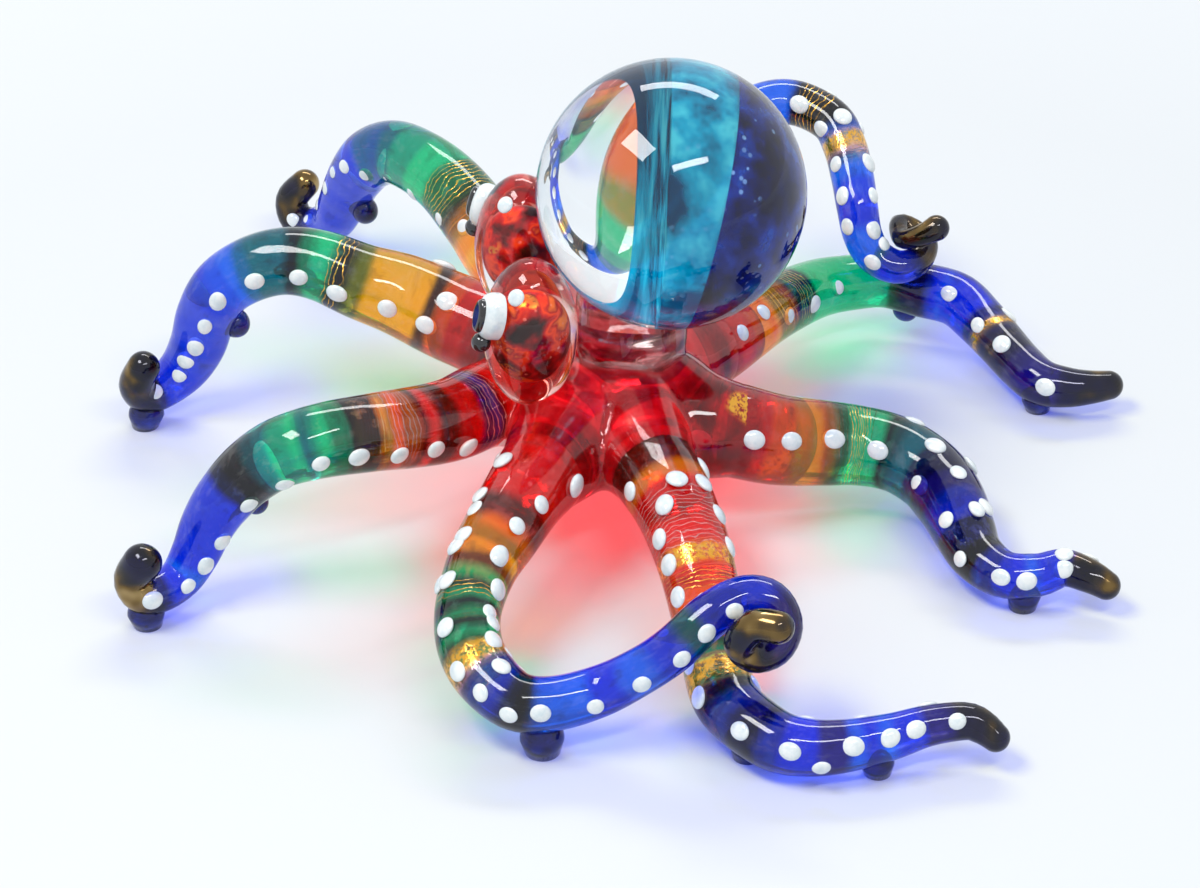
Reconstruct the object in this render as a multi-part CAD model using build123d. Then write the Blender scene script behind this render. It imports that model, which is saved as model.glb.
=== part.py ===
from build123d import *
import os

# Glass octopus figurine. It faces -Y and stands on z = 0, in millimetres.
# Every arm is a chain of solid glass lengths that meet end to end.

# Place and size of the body
body_x = 1.3
body_y = -1.5
body_height = 14.5
body_radius = 13.0
body_half_depth = 6.8

# Arms: the usual reach on plan, the height of a full arch, the usual radius
arm_reach = 50.0
arm_rise = 25.0
arm_radius = 5.0

# Neck collar: it sinks into the body, and laps up around the ball
collar_radius = 7.2
collar_waist = 0.5
collar_back = 2.4
collar_sink = 1.8
collar_lap = 6.0

# Head ball, in three colours of glass, lifted above the body's middle
ball_radius = 17.0
ball_back = 7.3
ball_lift = 30.2
ball_fit = 0.05
clear_edge_back = -2.6
clear_edge_lean_angle = 6.0
cobalt_edge_back = 4.2
cobalt_edge_lean_angle = 24.0

# Eye lobes. Each is let down onto the roots of the arms, close in front of the ball.
lobe_apart = 16.6
lobe_front = 14.0
lobe_start_height = 34.0
lobe_radius = 6.0
lobe_half_length = 10.2
lobe_lean_angle = 1.0
lobe_turn_in_angle = 1.0
lobe_fit = 0.04

# Eyes, with the pupils let into them, and the beads below them
eye_width = 5.0
eye_length = 6.2
eye_depth = 2.5
eye_sink = 0.7
eye_lift = 4.0
eye_turn_out_angle = 35.0
eye_tilt_angle = 16.0
pupil_width = 3.0
pupil_length = 4.5
pupil_depth = 1.1
pupil_sink = 0.5
bead_radius = 1.25
bead_lift = 0.9

# White dots and dark blue nubs
dot_radius = 1.35
dot_cap_angle = 28.0
dot_clearance = 0.3
nub_radius = 2.1
nub_fit = 0.05

# One overrun for everything that is cut away
overrun = 30.0

# The start of the red stub of an arm inside the body, as a share of the stub's end
stub_start_share = 0.3
# The distance between the rings of an arm, as a share of its radius there
ring_pitch_share = 0.9
# The step along an arm that finds its heading
heading_step_share = 0.004
# How much of a full arch's height counts against its reach in places along an arm
steepness_share = 0.5
# A dot's size on the thinnest glass, its growth with the arm's radius, and its limit
thin_dot_share = 0.55
dot_growth_share = 0.5
largest_dot_share = 1.15
# How far the dots on an arm's other side lie further out
far_row_shift_share = 0.025
# The rounding of an enamel drop, as a share of its depth
drop_rounding_share = 0.6
# The height of a foot's middle, as a share of its radius
foot_middle_share = 0.75
# The moves that bring an eye lobe to rest
settling_moves = 12

# Each arm's route from the body's middle outwards: shares of the reach to the
# side and to the back, of the rise, and of the arm's radius
front_right_route_shares = [
    (0.00, 0.00, 0.58, 1.10), (-0.16, -0.20, 0.63, 1.22), (-0.29, -0.40, 0.70, 1.20),
    (-0.33, -0.54, 0.79, 1.12), (-0.34, -0.65, 0.87, 1.02), (-0.37, -0.76, 0.93, 0.95),
    (-0.39, -0.86, 0.94, 0.90), (-0.39, -0.95, 0.90, 0.87), (-0.39, -1.03, 0.79, 0.83),
    (-0.39, -1.08, 0.62, 0.80), (-0.39, -1.11, 0.44, 0.76), (-0.385, -1.15, 0.29, 0.68),
    (-0.365, -1.205, 0.195, 0.58), (-0.33, -1.25, 0.19, 0.52), (-0.30, -1.27, 0.29, 0.48),
    (-0.28, -1.245, 0.42, 0.44),
]
front_left_route_shares = [
    (0.00, 0.00, 0.58, 1.10), (0.00, -0.17, 0.61, 1.18), (0.08, -0.31, 0.65, 1.13),
    (0.21, -0.41, 0.72, 1.07), (0.31, -0.51, 0.80, 1.02), (0.38, -0.60, 0.86, 0.97),
    (0.43, -0.69, 0.89, 0.94), (0.46, -0.77, 0.88, 0.91), (0.46, -0.84, 0.82, 0.87),
    (0.46, -0.91, 0.71, 0.82), (0.47, -0.97, 0.57, 0.75), (0.48, -1.01, 0.43, 0.68),
    (0.50, -1.04, 0.30, 0.61), (0.53, -1.08, 0.19, 0.54), (0.58, -1.13, 0.17, 0.50),
    (0.60, -1.17, 0.19, 0.48), (0.60, -1.19, 0.28, 0.46), (0.61, -1.16, 0.39, 0.49),
]
curled_left_route_shares = [
    (0.00, 0.00, 0.58, 1.10), (0.13, -0.07, 0.60, 1.20), (0.28, -0.14, 0.60, 1.18),
    (0.44, -0.21, 0.60, 1.08), (0.59, -0.27, 0.56, 0.98), (0.70, -0.32, 0.50, 0.89),
    (0.84, -0.35, 0.44, 0.83), (0.96, -0.34, 0.38, 0.79), (1.05, -0.30, 0.33, 0.76),
    (1.11, -0.23, 0.29, 0.71), (1.11, -0.14, 0.28, 0.65), (1.09, -0.03, 0.32, 0.61),
    (1.09, 0.06, 0.43, 0.58), (1.08, 0.14, 0.55, 0.57), (1.04, 0.23, 0.69, 0.55),
    (1.01, 0.31, 0.75, 0.53), (1.02, 0.37, 0.74, 0.51), (1.05, 0.40, 0.65, 0.48),
    (1.08, 0.38, 0.56, 0.45), (1.105, 0.33, 0.55, 0.42), (1.125, 0.295, 0.65, 0.40),
    (1.14, 0.33, 0.77, 0.40), (1.16, 0.38, 0.79, 0.40),
]
side_left_route_shares = [
    (0.00, 0.00, 0.58, 1.10), (0.13, 0.03, 0.60, 1.18), (0.28, 0.08, 0.60, 1.15),
    (0.49, 0.15, 0.58, 1.03), (0.63, 0.19, 0.50, 0.96), (0.75, 0.22, 0.40, 0.90),
    (0.87, 0.24, 0.31, 0.85), (1.03, 0.26, 0.23, 0.81), (1.11, 0.30, 0.20, 0.78),
    (1.19, 0.38, 0.18, 0.75), (1.21, 0.46, 0.17, 0.69), (1.21, 0.55, 0.18, 0.63),
    (1.19, 0.65, 0.20, 0.56), (1.16, 0.74, 0.22, 0.49), (1.15, 0.83, 0.23, 0.45),
    (1.16, 0.87, 0.21, 0.41), (1.18, 0.90, 0.18, 0.35),
]
back_left_route_shares = [
    (0.00, 0.00, 0.58, 1.10), (0.06, 0.12, 0.58, 1.22), (0.11, 0.22, 0.56, 1.26),
    (0.11, 0.32, 0.52, 1.22), (0.10, 0.42, 0.46, 1.18), (0.07, 0.54, 0.40, 1.11),
    (0.06, 0.64, 0.36, 1.04), (0.09, 0.74, 0.34, 0.99), (0.15, 0.82, 0.30, 0.96),
    (0.24, 0.86, 0.27, 0.92), (0.35, 0.89, 0.23, 0.81), (0.44, 0.92, 0.20, 0.69),
    (0.51, 0.98, 0.18, 0.60), (0.52, 1.06, 0.19, 0.55), (0.50, 1.13, 0.21, 0.48),
    (0.53, 1.19, 0.20, 0.43), (0.55, 1.23, 0.17, 0.37),
]
back_right_route_shares = [
    (0.00, 0.00, 0.58, 1.10), (-0.12, 0.10, 0.58, 1.14), (-0.25, 0.23, 0.56, 1.10),
    (-0.41, 0.34, 0.50, 0.97), (-0.59, 0.46, 0.44, 0.87), (-0.72, 0.56, 0.38, 0.82),
    (-0.78, 0.66, 0.35, 0.78), (-0.80, 0.76, 0.34, 0.75), (-0.77, 0.85, 0.32, 0.75),
    (-0.73, 0.95, 0.30, 0.75), (-0.65, 1.01, 0.26, 0.72), (-0.56, 1.06, 0.23, 0.68),
    (-0.47, 1.11, 0.20, 0.65), (-0.40, 1.16, 0.18, 0.62), (-0.38, 1.23, 0.17, 0.54),
    (-0.38, 1.29, 0.17, 0.46), (-0.39, 1.34, 0.17, 0.40),
]
arched_right_route_shares = [
    (0.00, 0.00, 0.58, 1.10), (-0.18, 0.02, 0.62, 1.12), (-0.34, 0.05, 0.70, 1.03),
    (-0.50, 0.11, 0.82, 0.91), (-0.73, 0.21, 0.99, 0.79), (-0.91, 0.31, 1.11, 0.72),
    (-1.01, 0.40, 1.19, 0.66), (-1.03, 0.50, 1.21, 0.63), (-0.97, 0.60, 1.17, 0.61),
    (-0.90, 0.64, 1.08, 0.60), (-0.82, 0.66, 0.97, 0.59), (-0.75, 0.67, 0.87, 0.57),
    (-0.71, 0.685, 0.73, 0.54), (-0.68, 0.72, 0.63, 0.51), (-0.66, 0.78, 0.59, 0.47),
    (-0.68, 0.835, 0.61, 0.41), (-0.73, 0.86, 0.66, 0.34), (-0.77, 0.83, 0.70, 0.30),
    (-0.77, 0.79, 0.735, 0.28), (-0.70, 0.79, 0.73, 0.27), (-0.67, 0.815, 0.76, 0.28),
    (-0.66, 0.85, 0.80, 0.31), (-0.665, 0.88, 0.83, 0.36),
]
side_right_route_shares = [
    (0.00, 0.00, 0.58, 1.10), (-0.20, -0.09, 0.60, 1.16), (-0.44, -0.19, 0.64, 1.12),
    (-0.58, -0.29, 0.72, 1.03), (-0.71, -0.36, 0.82, 0.98), (-0.83, -0.44, 0.90, 0.93),
    (-0.94, -0.52, 0.92, 0.91), (-1.03, -0.60, 0.90, 0.89), (-1.09, -0.67, 0.80, 0.86),
    (-1.13, -0.72, 0.64, 0.79), (-1.17, -0.76, 0.44, 0.71), (-1.22, -0.80, 0.25, 0.63),
    (-1.25, -0.86, 0.17, 0.55), (-1.28, -0.91, 0.20, 0.49), (-1.29, -0.92, 0.31, 0.46),
    (-1.28, -0.88, 0.42, 0.42),
]

# Where the colours of each arm change, as shares of its length from the middle:
# the end of the red root, of the warm length, of the green and of the blue
front_right_colour_shares = (0.24, 0.445, 0.64, 0.93)
front_left_colour_shares = (0.24, 0.515, 0.70, 0.93)
curled_left_colour_shares = (0.20, 0.37, 0.50, 0.90)
side_left_colour_shares = (0.24, 0.53, 0.60, 0.94)
back_left_colour_shares = (0.26, 0.375, 0.50, 0.94)
back_right_colour_shares = (0.22, 0.36, 0.62, 0.93)
arched_right_colour_shares = (0.20, 0.34, 0.48, 0.86)
side_right_colour_shares = (0.26, 0.46, 0.69, 0.93)

# White dots of each arm: places along the arm
front_right_dot_shares = [0.27, 0.32, 0.38, 0.45, 0.51, 0.57, 0.63, 0.69, 0.74, 0.79, 0.83, 0.88]
front_left_dot_shares = [0.25, 0.29, 0.33, 0.38, 0.43, 0.49, 0.55, 0.62, 0.68, 0.75, 0.81, 0.88]
curled_left_dot_shares = [0.17, 0.21, 0.25, 0.29, 0.33, 0.38, 0.42, 0.47, 0.52, 0.57, 0.63, 0.69, 0.75]
side_left_dot_shares = [0.15, 0.21, 0.27, 0.33, 0.39, 0.45, 0.51, 0.57, 0.63, 0.70, 0.76, 0.81, 0.86]
back_left_dot_shares = [0.20, 0.26, 0.31, 0.36, 0.42, 0.48, 0.54, 0.60, 0.66, 0.72, 0.78, 0.84]
back_right_dot_shares = [0.25, 0.30, 0.34, 0.39, 0.44, 0.55, 0.62, 0.70, 0.76, 0.84]
arched_right_dot_shares = [0.24, 0.31, 0.38, 0.45, 0.51, 0.56, 0.61, 0.66, 0.71, 0.76]
side_right_dot_shares = [0.28, 0.33, 0.39, 0.45, 0.51, 0.57, 0.62, 0.67, 0.72, 0.77, 0.82, 0.86]

# The turn of the first and of the last dot from an arm's top towards +X, in degrees
front_right_dot_angles = (62, 55)
front_left_dot_angles = (50, 35)
curled_left_dot_angles = (45, 45)
side_left_dot_angles = (45, 45)
back_left_dot_angles = (40, 35)
back_right_dot_angles = (65, 45)
arched_right_dot_angles = (50, 60)
side_right_dot_angles = (65, 50)

# Nubs under each arm: places along the arm, the drop from its middle to the nub's
# middle and the nub's size, as shares of the arm's and of the nub's radius
front_right_nub_shares = [(0.74, 1.00, 0.95)]
front_left_nub_shares = [(0.70, 0.95, 0.75)]
back_left_nub_shares = [(0.61, 1.00, 0.80)]
back_right_nub_shares = [(0.63, 1.00, 0.85)]
side_right_nub_shares = [(0.78, 1.00, 1.00)]

# Nubs that the figurine stands on: places along the arm, and the size
front_right_foot_shares = [(0.93, 1.10)]
front_left_foot_shares = [(0.925, 1.10)]
curled_left_foot_shares = [(0.57, 1.30)]
side_left_foot_shares = [(0.66, 1.10), (0.84, 1.00)]
back_left_foot_shares = [(0.86, 1.05)]
back_right_foot_shares = [(0.90, 1.00)]
side_right_foot_shares = [(0.91, 1.05)]

arms = {
    "front_right": {
        "route": front_right_route_shares,
        "colours": front_right_colour_shares,
        "dots": front_right_dot_shares,
        "dot_angles": front_right_dot_angles,
        "nubs": front_right_nub_shares,
        "feet": front_right_foot_shares,
    },
    "front_left": {
        "route": front_left_route_shares,
        "colours": front_left_colour_shares,
        "dots": front_left_dot_shares,
        "dot_angles": front_left_dot_angles,
        "nubs": front_left_nub_shares,
        "feet": front_left_foot_shares,
    },
    "curled_left": {
        "route": curled_left_route_shares,
        "colours": curled_left_colour_shares,
        "dots": curled_left_dot_shares,
        "dot_angles": curled_left_dot_angles,
        "nubs": [],
        "feet": curled_left_foot_shares,
    },
    "side_left": {
        "route": side_left_route_shares,
        "colours": side_left_colour_shares,
        "dots": side_left_dot_shares,
        "dot_angles": side_left_dot_angles,
        "nubs": [],
        "feet": side_left_foot_shares,
    },
    "back_left": {
        "route": back_left_route_shares,
        "colours": back_left_colour_shares,
        "dots": back_left_dot_shares,
        "dot_angles": back_left_dot_angles,
        "nubs": back_left_nub_shares,
        "feet": back_left_foot_shares,
    },
    "back_right": {
        "route": back_right_route_shares,
        "colours": back_right_colour_shares,
        "dots": back_right_dot_shares,
        "dot_angles": back_right_dot_angles,
        "nubs": back_right_nub_shares,
        "feet": back_right_foot_shares,
    },
    "arched_right": {
        "route": arched_right_route_shares,
        "colours": arched_right_colour_shares,
        "dots": arched_right_dot_shares,
        "dot_angles": arched_right_dot_angles,
        "nubs": [],
        "feet": [],
    },
    "side_right": {
        "route": side_right_route_shares,
        "colours": side_right_colour_shares,
        "dots": side_right_dot_shares,
        "dot_angles": side_right_dot_angles,
        "nubs": side_right_nub_shares,
        "feet": side_right_foot_shares,
    },
}
section_names = ("warm", "green", "blue", "tip")


def save(name, shape):
    export_step(shape, os.path.join("parts", name + ".step"))


def cos_of(degrees):
    return Vector(1, 0, 0).rotate(Axis.Z, degrees).X


def sin_of(degrees):
    return Vector(1, 0, 0).rotate(Axis.Z, degrees).Y


# The place of each point along its route, from 0 to 1. It stays the same when the
# arms reach further or rise higher.
def places_of(route_shares):
    points = [Vector(side, back, rise * steepness_share) for side, back, rise, _ in route_shares]
    reached = 0
    distances = [reached]
    for point, following in zip(points, points[1:]):
        reached += (following - point).length
        distances.append(reached)
    return [distance / reached for distance in distances]


# A route is a list of points, each with its radius and its place along the route
def route_of(route_shares):
    route = []
    for shares, place in zip(route_shares, places_of(route_shares)):
        side_share, back_share, rise_share, radius_share = shares
        x = body_x + side_share * arm_reach
        y = body_y + back_share * arm_reach
        route.append((Vector(x, y, rise_share * arm_rise), radius_share * arm_radius, place))
    return route


# The length along a route from one share to another, by its chords
def length_between(route, start_share, end_share):
    points = [point for point, _, _ in route]
    chords = [(following - point).length for point, following in zip(points, points[1:])]
    return sum(chords) * (end_share - start_share)


# A smooth curve through four values, between the two in the middle
def blend(before, start, end, after, part):
    slope_start = (end - before) * 0.5
    slope_end = (after - start) * 0.5
    bend = (start - end) * 2 + slope_start + slope_end
    sag = (end - start) * 3 - slope_start * 2 - slope_end
    return bend * part**3 + sag * part**2 + slope_start * part + start


# The middle and the radius of an arm at a share of its length
def station(route, share):
    last = len(route) - 1
    index = 0
    while index < last - 1 and route[index + 1][2] < share:
        index += 1
    start_place = route[index][2]
    part = (share - start_place) / (route[index + 1][2] - start_place)
    near = [route[min(max(index + step, 0), last)] for step in (-1, 0, 1, 2)]
    middle = blend(*[point for point, _, _ in near], part)
    radius = blend(*[radius for _, radius, _ in near], part)
    return middle, radius


def direction(route, share):
    ahead, _ = station(route, min(share + heading_step_share, 1))
    behind, _ = station(route, max(share - heading_step_share, 0))
    return (ahead - behind).normalized()


# The way up from an arm, square to its heading
def top_of(heading):
    return (Vector(0, 0, 1) - heading * heading.Z).normalized()


# Evenly spaced shares from one to another, closer together where the arm is thin
def ring_shares(route, start_share, end_share):
    _, radius = station(route, (start_share + end_share) / 2)
    length = length_between(route, start_share, end_share)
    count = max(3, round(length / (radius * ring_pitch_share)))
    return [start_share + (end_share - start_share) * step / count for step in range(count + 1)]


# A round length of glass along a route. Its seam doesn't twist.
def glass_length(route, start_share, end_share, swell=0):
    rings = []
    across = Vector(0, 0, 1)
    for share in ring_shares(route, start_share, end_share):
        middle, radius = station(route, share)
        heading = direction(route, share)
        across = (across - heading * across.dot(heading)).normalized()
        rings.append(Plane(middle, x_dir=across, z_dir=heading) * Circle(radius + swell))
    glass = loft(rings)
    if end_share == 1:
        end_ball = Sphere(radius + swell, arc_size1=0, align=(Align.CENTER, Align.CENTER, Align.MIN))
        glass += Plane(middle, x_dir=across, z_dir=heading) * end_ball
    return glass


# An egg on a plane: round across, and longer along the plane's normal
def egg(plane, half_width, half_length):
    with BuildPart() as body:
        with BuildSketch(Plane.XZ):
            Ellipse(half_width, half_length)
            split(bisect_by=Plane.YZ, keep=Keep.TOP)
        revolve(axis=Axis.Z)
    return plane * body.part


def collar_seat_height():
    return body_height + body_half_depth - collar_sink


def body_hub():
    hub = egg(Plane((body_x, body_y, body_height)), body_radius, body_half_depth)
    for arm in arms.values():
        route = route_of(arm["route"])
        stub_end_share = arm["colours"][0]
        hub += glass_length(route, stub_end_share * stub_start_share, stub_end_share)
    seat_radius = collar_radius + collar_waist
    seat = Cylinder(seat_radius, overrun, align=(Align.CENTER, Align.CENTER, Align.MIN))
    return hub - Pos(body_x, body_y + collar_back, collar_seat_height()) * seat


def ball_place():
    return Pos(body_x, body_y + ball_back, body_height + ball_lift)


def colour_edge(edge_back, lean_angle):
    origin = (body_x, body_y + ball_back + edge_back, body_height + ball_lift)
    return Plane(origin, x_dir=(1, 0, 0), z_dir=Vector(0, 1, 0).rotate(Axis.X, -lean_angle))


def head_ball_pieces():
    ball = ball_place() * Sphere(ball_radius)
    clear_edge = colour_edge(clear_edge_back, clear_edge_lean_angle)
    cobalt_edge = colour_edge(cobalt_edge_back, cobalt_edge_lean_angle)
    clear = split(ball, bisect_by=clear_edge, keep=Keep.BOTTOM)
    coloured = split(ball, bisect_by=clear_edge, keep=Keep.TOP)
    turquoise = split(coloured, bisect_by=cobalt_edge, keep=Keep.BOTTOM)
    cobalt = split(coloured, bisect_by=cobalt_edge, keep=Keep.TOP)
    return clear, turquoise, cobalt


def neck_collar():
    top_height = body_height + ball_lift - ball_radius + collar_lap
    height = top_height - collar_seat_height()
    with BuildPart() as collar:
        with BuildSketch(Plane.XZ):
            with BuildLine():
                foot = (collar_radius - collar_waist, 0)
                head = (collar_radius - collar_waist, height)
                Line((0, 0), foot)
                ThreePointArc(foot, (collar_radius, height / 2), head)
                Line(head, (0, height))
                Line((0, height), (0, 0))
            make_face()
        revolve(axis=Axis.Z)
    seat = Pos(body_x, body_y + collar_back, collar_seat_height())
    return seat * collar.part - ball_place() * Sphere(ball_radius + ball_fit)


# How far a lobe can move before it touches a support
def room_to(plane, support):
    return egg(plane, lobe_radius, lobe_half_length).distance_to(support) - lobe_fit


# The frame of an eye lobe at rest: its origin in the lobe, Z along it and up. The lobe
# moves back to the ball, and halfway down to the hub each time, so that it meets both.
def lobe_plane(side, hub):
    ball = ball_place() * Sphere(ball_radius)
    start = Plane((body_x + side * lobe_apart / 2, body_y - lobe_front, lobe_start_height))
    plane = start.rotated((-lobe_lean_angle, -side * lobe_turn_in_angle, 0))
    for move in range(settling_moves):
        back = Vector(0, min(room_to(plane, ball), room_to(plane, hub)), 0)
        plane = Plane(plane.origin + back, plane.x_dir, plane.z_dir)
        down = Vector(0, 0, -room_to(plane, hub) / 2)
        plane = Plane(plane.origin + down, plane.x_dir, plane.z_dir)
    return plane


# The frame of an eye: its origin on the lobe, Z square to the lobe, Y along the eye
def eye_plane(side, lobe_place):
    lift_share = eye_lift / lobe_half_length
    radius = lobe_radius * (1 - lift_share**2) ** 0.5
    outward = Vector(0, -1, 0).rotate(Axis.Z, side * eye_turn_out_angle)
    slope = Vector(0, 0, lift_share * radius / lobe_half_length)
    across = Vector(0, 0, 1).cross(outward)
    seat = Plane(outward * radius + Vector(0, 0, eye_lift), x_dir=across, z_dir=outward + slope)
    return Plane(lobe_place * seat.rotated((0, 0, -side * eye_tilt_angle)))


# A flattened drop of enamel, its base on the plane
def enamel_drop(plane, width, length, depth):
    with BuildPart() as drop:
        with BuildSketch():
            Ellipse(width / 2, length / 2)
        extrude(amount=depth)
        fillet(drop.edges().group_by(Axis.Z)[-1], depth * drop_rounding_share)
    return plane * drop.part


def eye_pieces(seat, lobe):
    white = enamel_drop(seat.offset(-eye_sink), eye_width, eye_length, eye_depth) - lobe
    pupil_base = seat.offset(eye_depth - eye_sink - pupil_sink)
    pupil = enamel_drop(pupil_base, pupil_width, pupil_length, pupil_depth)
    bead_centre = seat.offset(bead_lift) * Pos(0, -(eye_length + bead_radius) / 2, 0)
    bead = bead_centre * Sphere(bead_radius) - lobe - white
    return white - pupil, pupil, bead


# A white dot that sits on an arm, turned from the top of the arm towards +X
def dot(route, share, turn_angle, size_share):
    middle, radius = station(route, share)
    heading = direction(route, share)
    top = top_of(heading)
    side = top.cross(heading)
    if side.X < 0:
        side = side * -1
    outward = top * cos_of(turn_angle) + side * sin_of(turn_angle)
    cap_radius = dot_radius * size_share / cos_of(dot_cap_angle)
    cap = Sphere(cap_radius, arc_size1=dot_cap_angle, align=(Align.CENTER, Align.CENTER, Align.MIN))
    seat = middle + outward * (radius + dot_clearance)
    return Plane(seat, x_dir=heading, z_dir=outward) * cap


# Two rows of dots, one towards +X and one on the other side of the arm
def dot_rows(route, dot_shares, dot_angles):
    dots = []
    first_angle, last_angle = dot_angles
    for number, share in enumerate(dot_shares):
        angle = first_angle + (last_angle - first_angle) * number / (len(dot_shares) - 1)
        _, radius = station(route, share)
        grown_share = thin_dot_share + dot_growth_share * radius / arm_radius
        size_share = min(largest_dot_share, grown_share)
        dots.append(dot(route, share, angle, size_share))
        dots.append(dot(route, share + far_row_shift_share, -angle, size_share))
    return Compound(children=dots)


# The nubs of one arm, shaped to fit against the lengths that they are fused to
def nub_group(route, nub_shares, foot_shares, arm_lengths):
    nubs = []
    for share, drop_share, size_share in nub_shares:
        middle, radius = station(route, share)
        centre = middle - top_of(direction(route, share)) * drop_share * radius
        nubs.append(Pos(*centre) * Sphere(nub_radius * size_share))
    for share, size_share in foot_shares:
        middle, _ = station(route, share)
        radius = nub_radius * size_share
        foot = Pos(middle.X, middle.Y, radius * foot_middle_share) * Sphere(radius)
        nubs.append(split(foot, bisect_by=Plane.XY, keep=Keep.TOP))
    group = []
    for nub in nubs:
        for arm_length in arm_lengths:
            nub = nub - arm_length
        group.append(nub)
    return Compound(children=group)


def make_head(hub):
    for name, piece in zip(("clear", "turquoise", "cobalt"), head_ball_pieces()):
        save("head_ball_" + name, piece)
    save("neck_collar", neck_collar())
    for name, side in (("left", 1), ("right", -1)):
        lobe_place = lobe_plane(side, hub)
        lobe = egg(lobe_place, lobe_radius, lobe_half_length)
        save("eye_lobe_" + name, lobe)
        white, pupil, bead = eye_pieces(eye_plane(side, lobe_place), lobe)
        save("eye_white_" + name, white)
        save("pupil_" + name, pupil)
        save("cheek_bead_" + name, bead)


def make_arm(name, arm):
    route = route_of(arm["route"])
    ends = arm["colours"] + (1,)
    for section, start_share, end_share in zip(section_names, ends, ends[1:]):
        save(name + "_arm_" + section, glass_length(route, start_share, end_share))
    save(name + "_dots", dot_rows(route, arm["dots"], arm["dot_angles"]))
    if arm["feet"]:
        ends_near_nubs = zip(ends[1:], ends[2:])
        near_lengths = [glass_length(route, start, end, nub_fit) for start, end in ends_near_nubs]
        save(name + "_nubs", nub_group(route, arm["nubs"], arm["feet"], near_lengths))


def main():
    os.makedirs("parts", exist_ok=True)
    hub = body_hub()
    save("body_hub", hub)
    make_head(hub)
    for name, arm in arms.items():
        make_arm(name, arm)


main()
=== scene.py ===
import math
import random

import bmesh
import bpy
import numpy as np
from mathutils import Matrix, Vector


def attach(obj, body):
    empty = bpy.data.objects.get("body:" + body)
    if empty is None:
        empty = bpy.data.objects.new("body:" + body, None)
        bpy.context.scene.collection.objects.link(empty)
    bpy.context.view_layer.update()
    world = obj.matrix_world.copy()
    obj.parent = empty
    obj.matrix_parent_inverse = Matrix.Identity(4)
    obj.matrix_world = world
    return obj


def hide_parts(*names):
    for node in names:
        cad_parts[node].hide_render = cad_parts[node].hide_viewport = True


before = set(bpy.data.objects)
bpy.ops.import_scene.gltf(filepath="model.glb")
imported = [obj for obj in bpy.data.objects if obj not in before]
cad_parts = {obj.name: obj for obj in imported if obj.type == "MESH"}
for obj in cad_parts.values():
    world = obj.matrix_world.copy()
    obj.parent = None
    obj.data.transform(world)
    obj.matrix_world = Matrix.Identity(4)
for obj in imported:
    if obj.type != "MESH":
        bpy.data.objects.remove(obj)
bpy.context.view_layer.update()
mm = 0.001  # every size below is in millimetres times this


# Camera of the photograph
photo = {"width": 1200, "height": 888, "azimuth": 90.0, "elevation": 33.0, "distance": 500 * mm,
         "lens": 116.0, "sensor": 36.0, "target": Vector((4.3, -3.1, 9.4)) * mm}


def lookingFrom(azimuth, elevation):
    turn, rise = math.radians(azimuth), math.radians(elevation)
    return Vector((math.sin(turn) * math.cos(rise), -math.cos(turn) * math.cos(rise), math.sin(rise)))


def addCamera(shot):
    camera = bpy.data.objects.new("camera", bpy.data.cameras.new("camera"))
    bpy.context.scene.collection.objects.link(camera)
    camera.data.lens = shot["lens"]
    camera.data.sensor_width = shot["sensor"]
    camera.data.dof.use_dof = False
    away = lookingFrom(shot["azimuth"], shot["elevation"])
    camera.location = shot["target"] + away * shot["distance"]
    camera.rotation_euler = (-away).to_track_quat("-Z", "Y").to_euler()
    bpy.context.scene.camera = camera
    return camera


def pixelRay(shot, across, down):
    away = lookingFrom(shot["azimuth"], shot["elevation"])
    ahead = -away
    right = ahead.cross(Vector((0, 0, 1))).normalized()
    up = right.cross(ahead)
    focal = shot["lens"] / shot["sensor"] * shot["width"]
    way = ahead * focal + right * (across - shot["width"] / 2) - up * (down - shot["height"] / 2)
    return shot["target"] + away * shot["distance"], way.normalized()


addCamera(photo)
bpy.context.scene.view_settings.view_transform = "Standard"
print("camera ready")


# Shader helpers
class Wire:  # a socket that can be used in sums
    def __init__(self, tree, socket):
        self.tree, self.socket = tree, socket

    def sum(self, operation, *values, clamp=False):
        node = self.tree.nodes.new("ShaderNodeMath")
        node.operation = operation
        node.use_clamp = clamp
        for slot, value in enumerate(values):
            plug(self.tree, node.inputs[slot], value)
        return Wire(self.tree, node.outputs[0])

    def __add__(self, other):
        return self.sum("ADD", self, other)

    def __radd__(self, other):
        return self.sum("ADD", other, self)

    def __sub__(self, other):
        return self.sum("SUBTRACT", self, other)

    def __rsub__(self, other):
        return self.sum("SUBTRACT", other, self)

    def __mul__(self, other):
        return self.sum("MULTIPLY", self, other)

    def __rmul__(self, other):
        return self.sum("MULTIPLY", other, self)

    def held(self):  # kept between 0 and 1
        return self.sum("ADD", self, 0.0, clamp=True)

    def sine(self):
        return self.sum("SINE", self)

    def above(self, edge, soft):  # 0 below the edge and 1 above it
        return ((self - edge) * (1 / soft) + 0.5).held()


def plug(tree, socket, value):
    if isinstance(value, Wire):
        tree.links.new(value.socket, socket)
    else:
        socket.default_value = value


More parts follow.
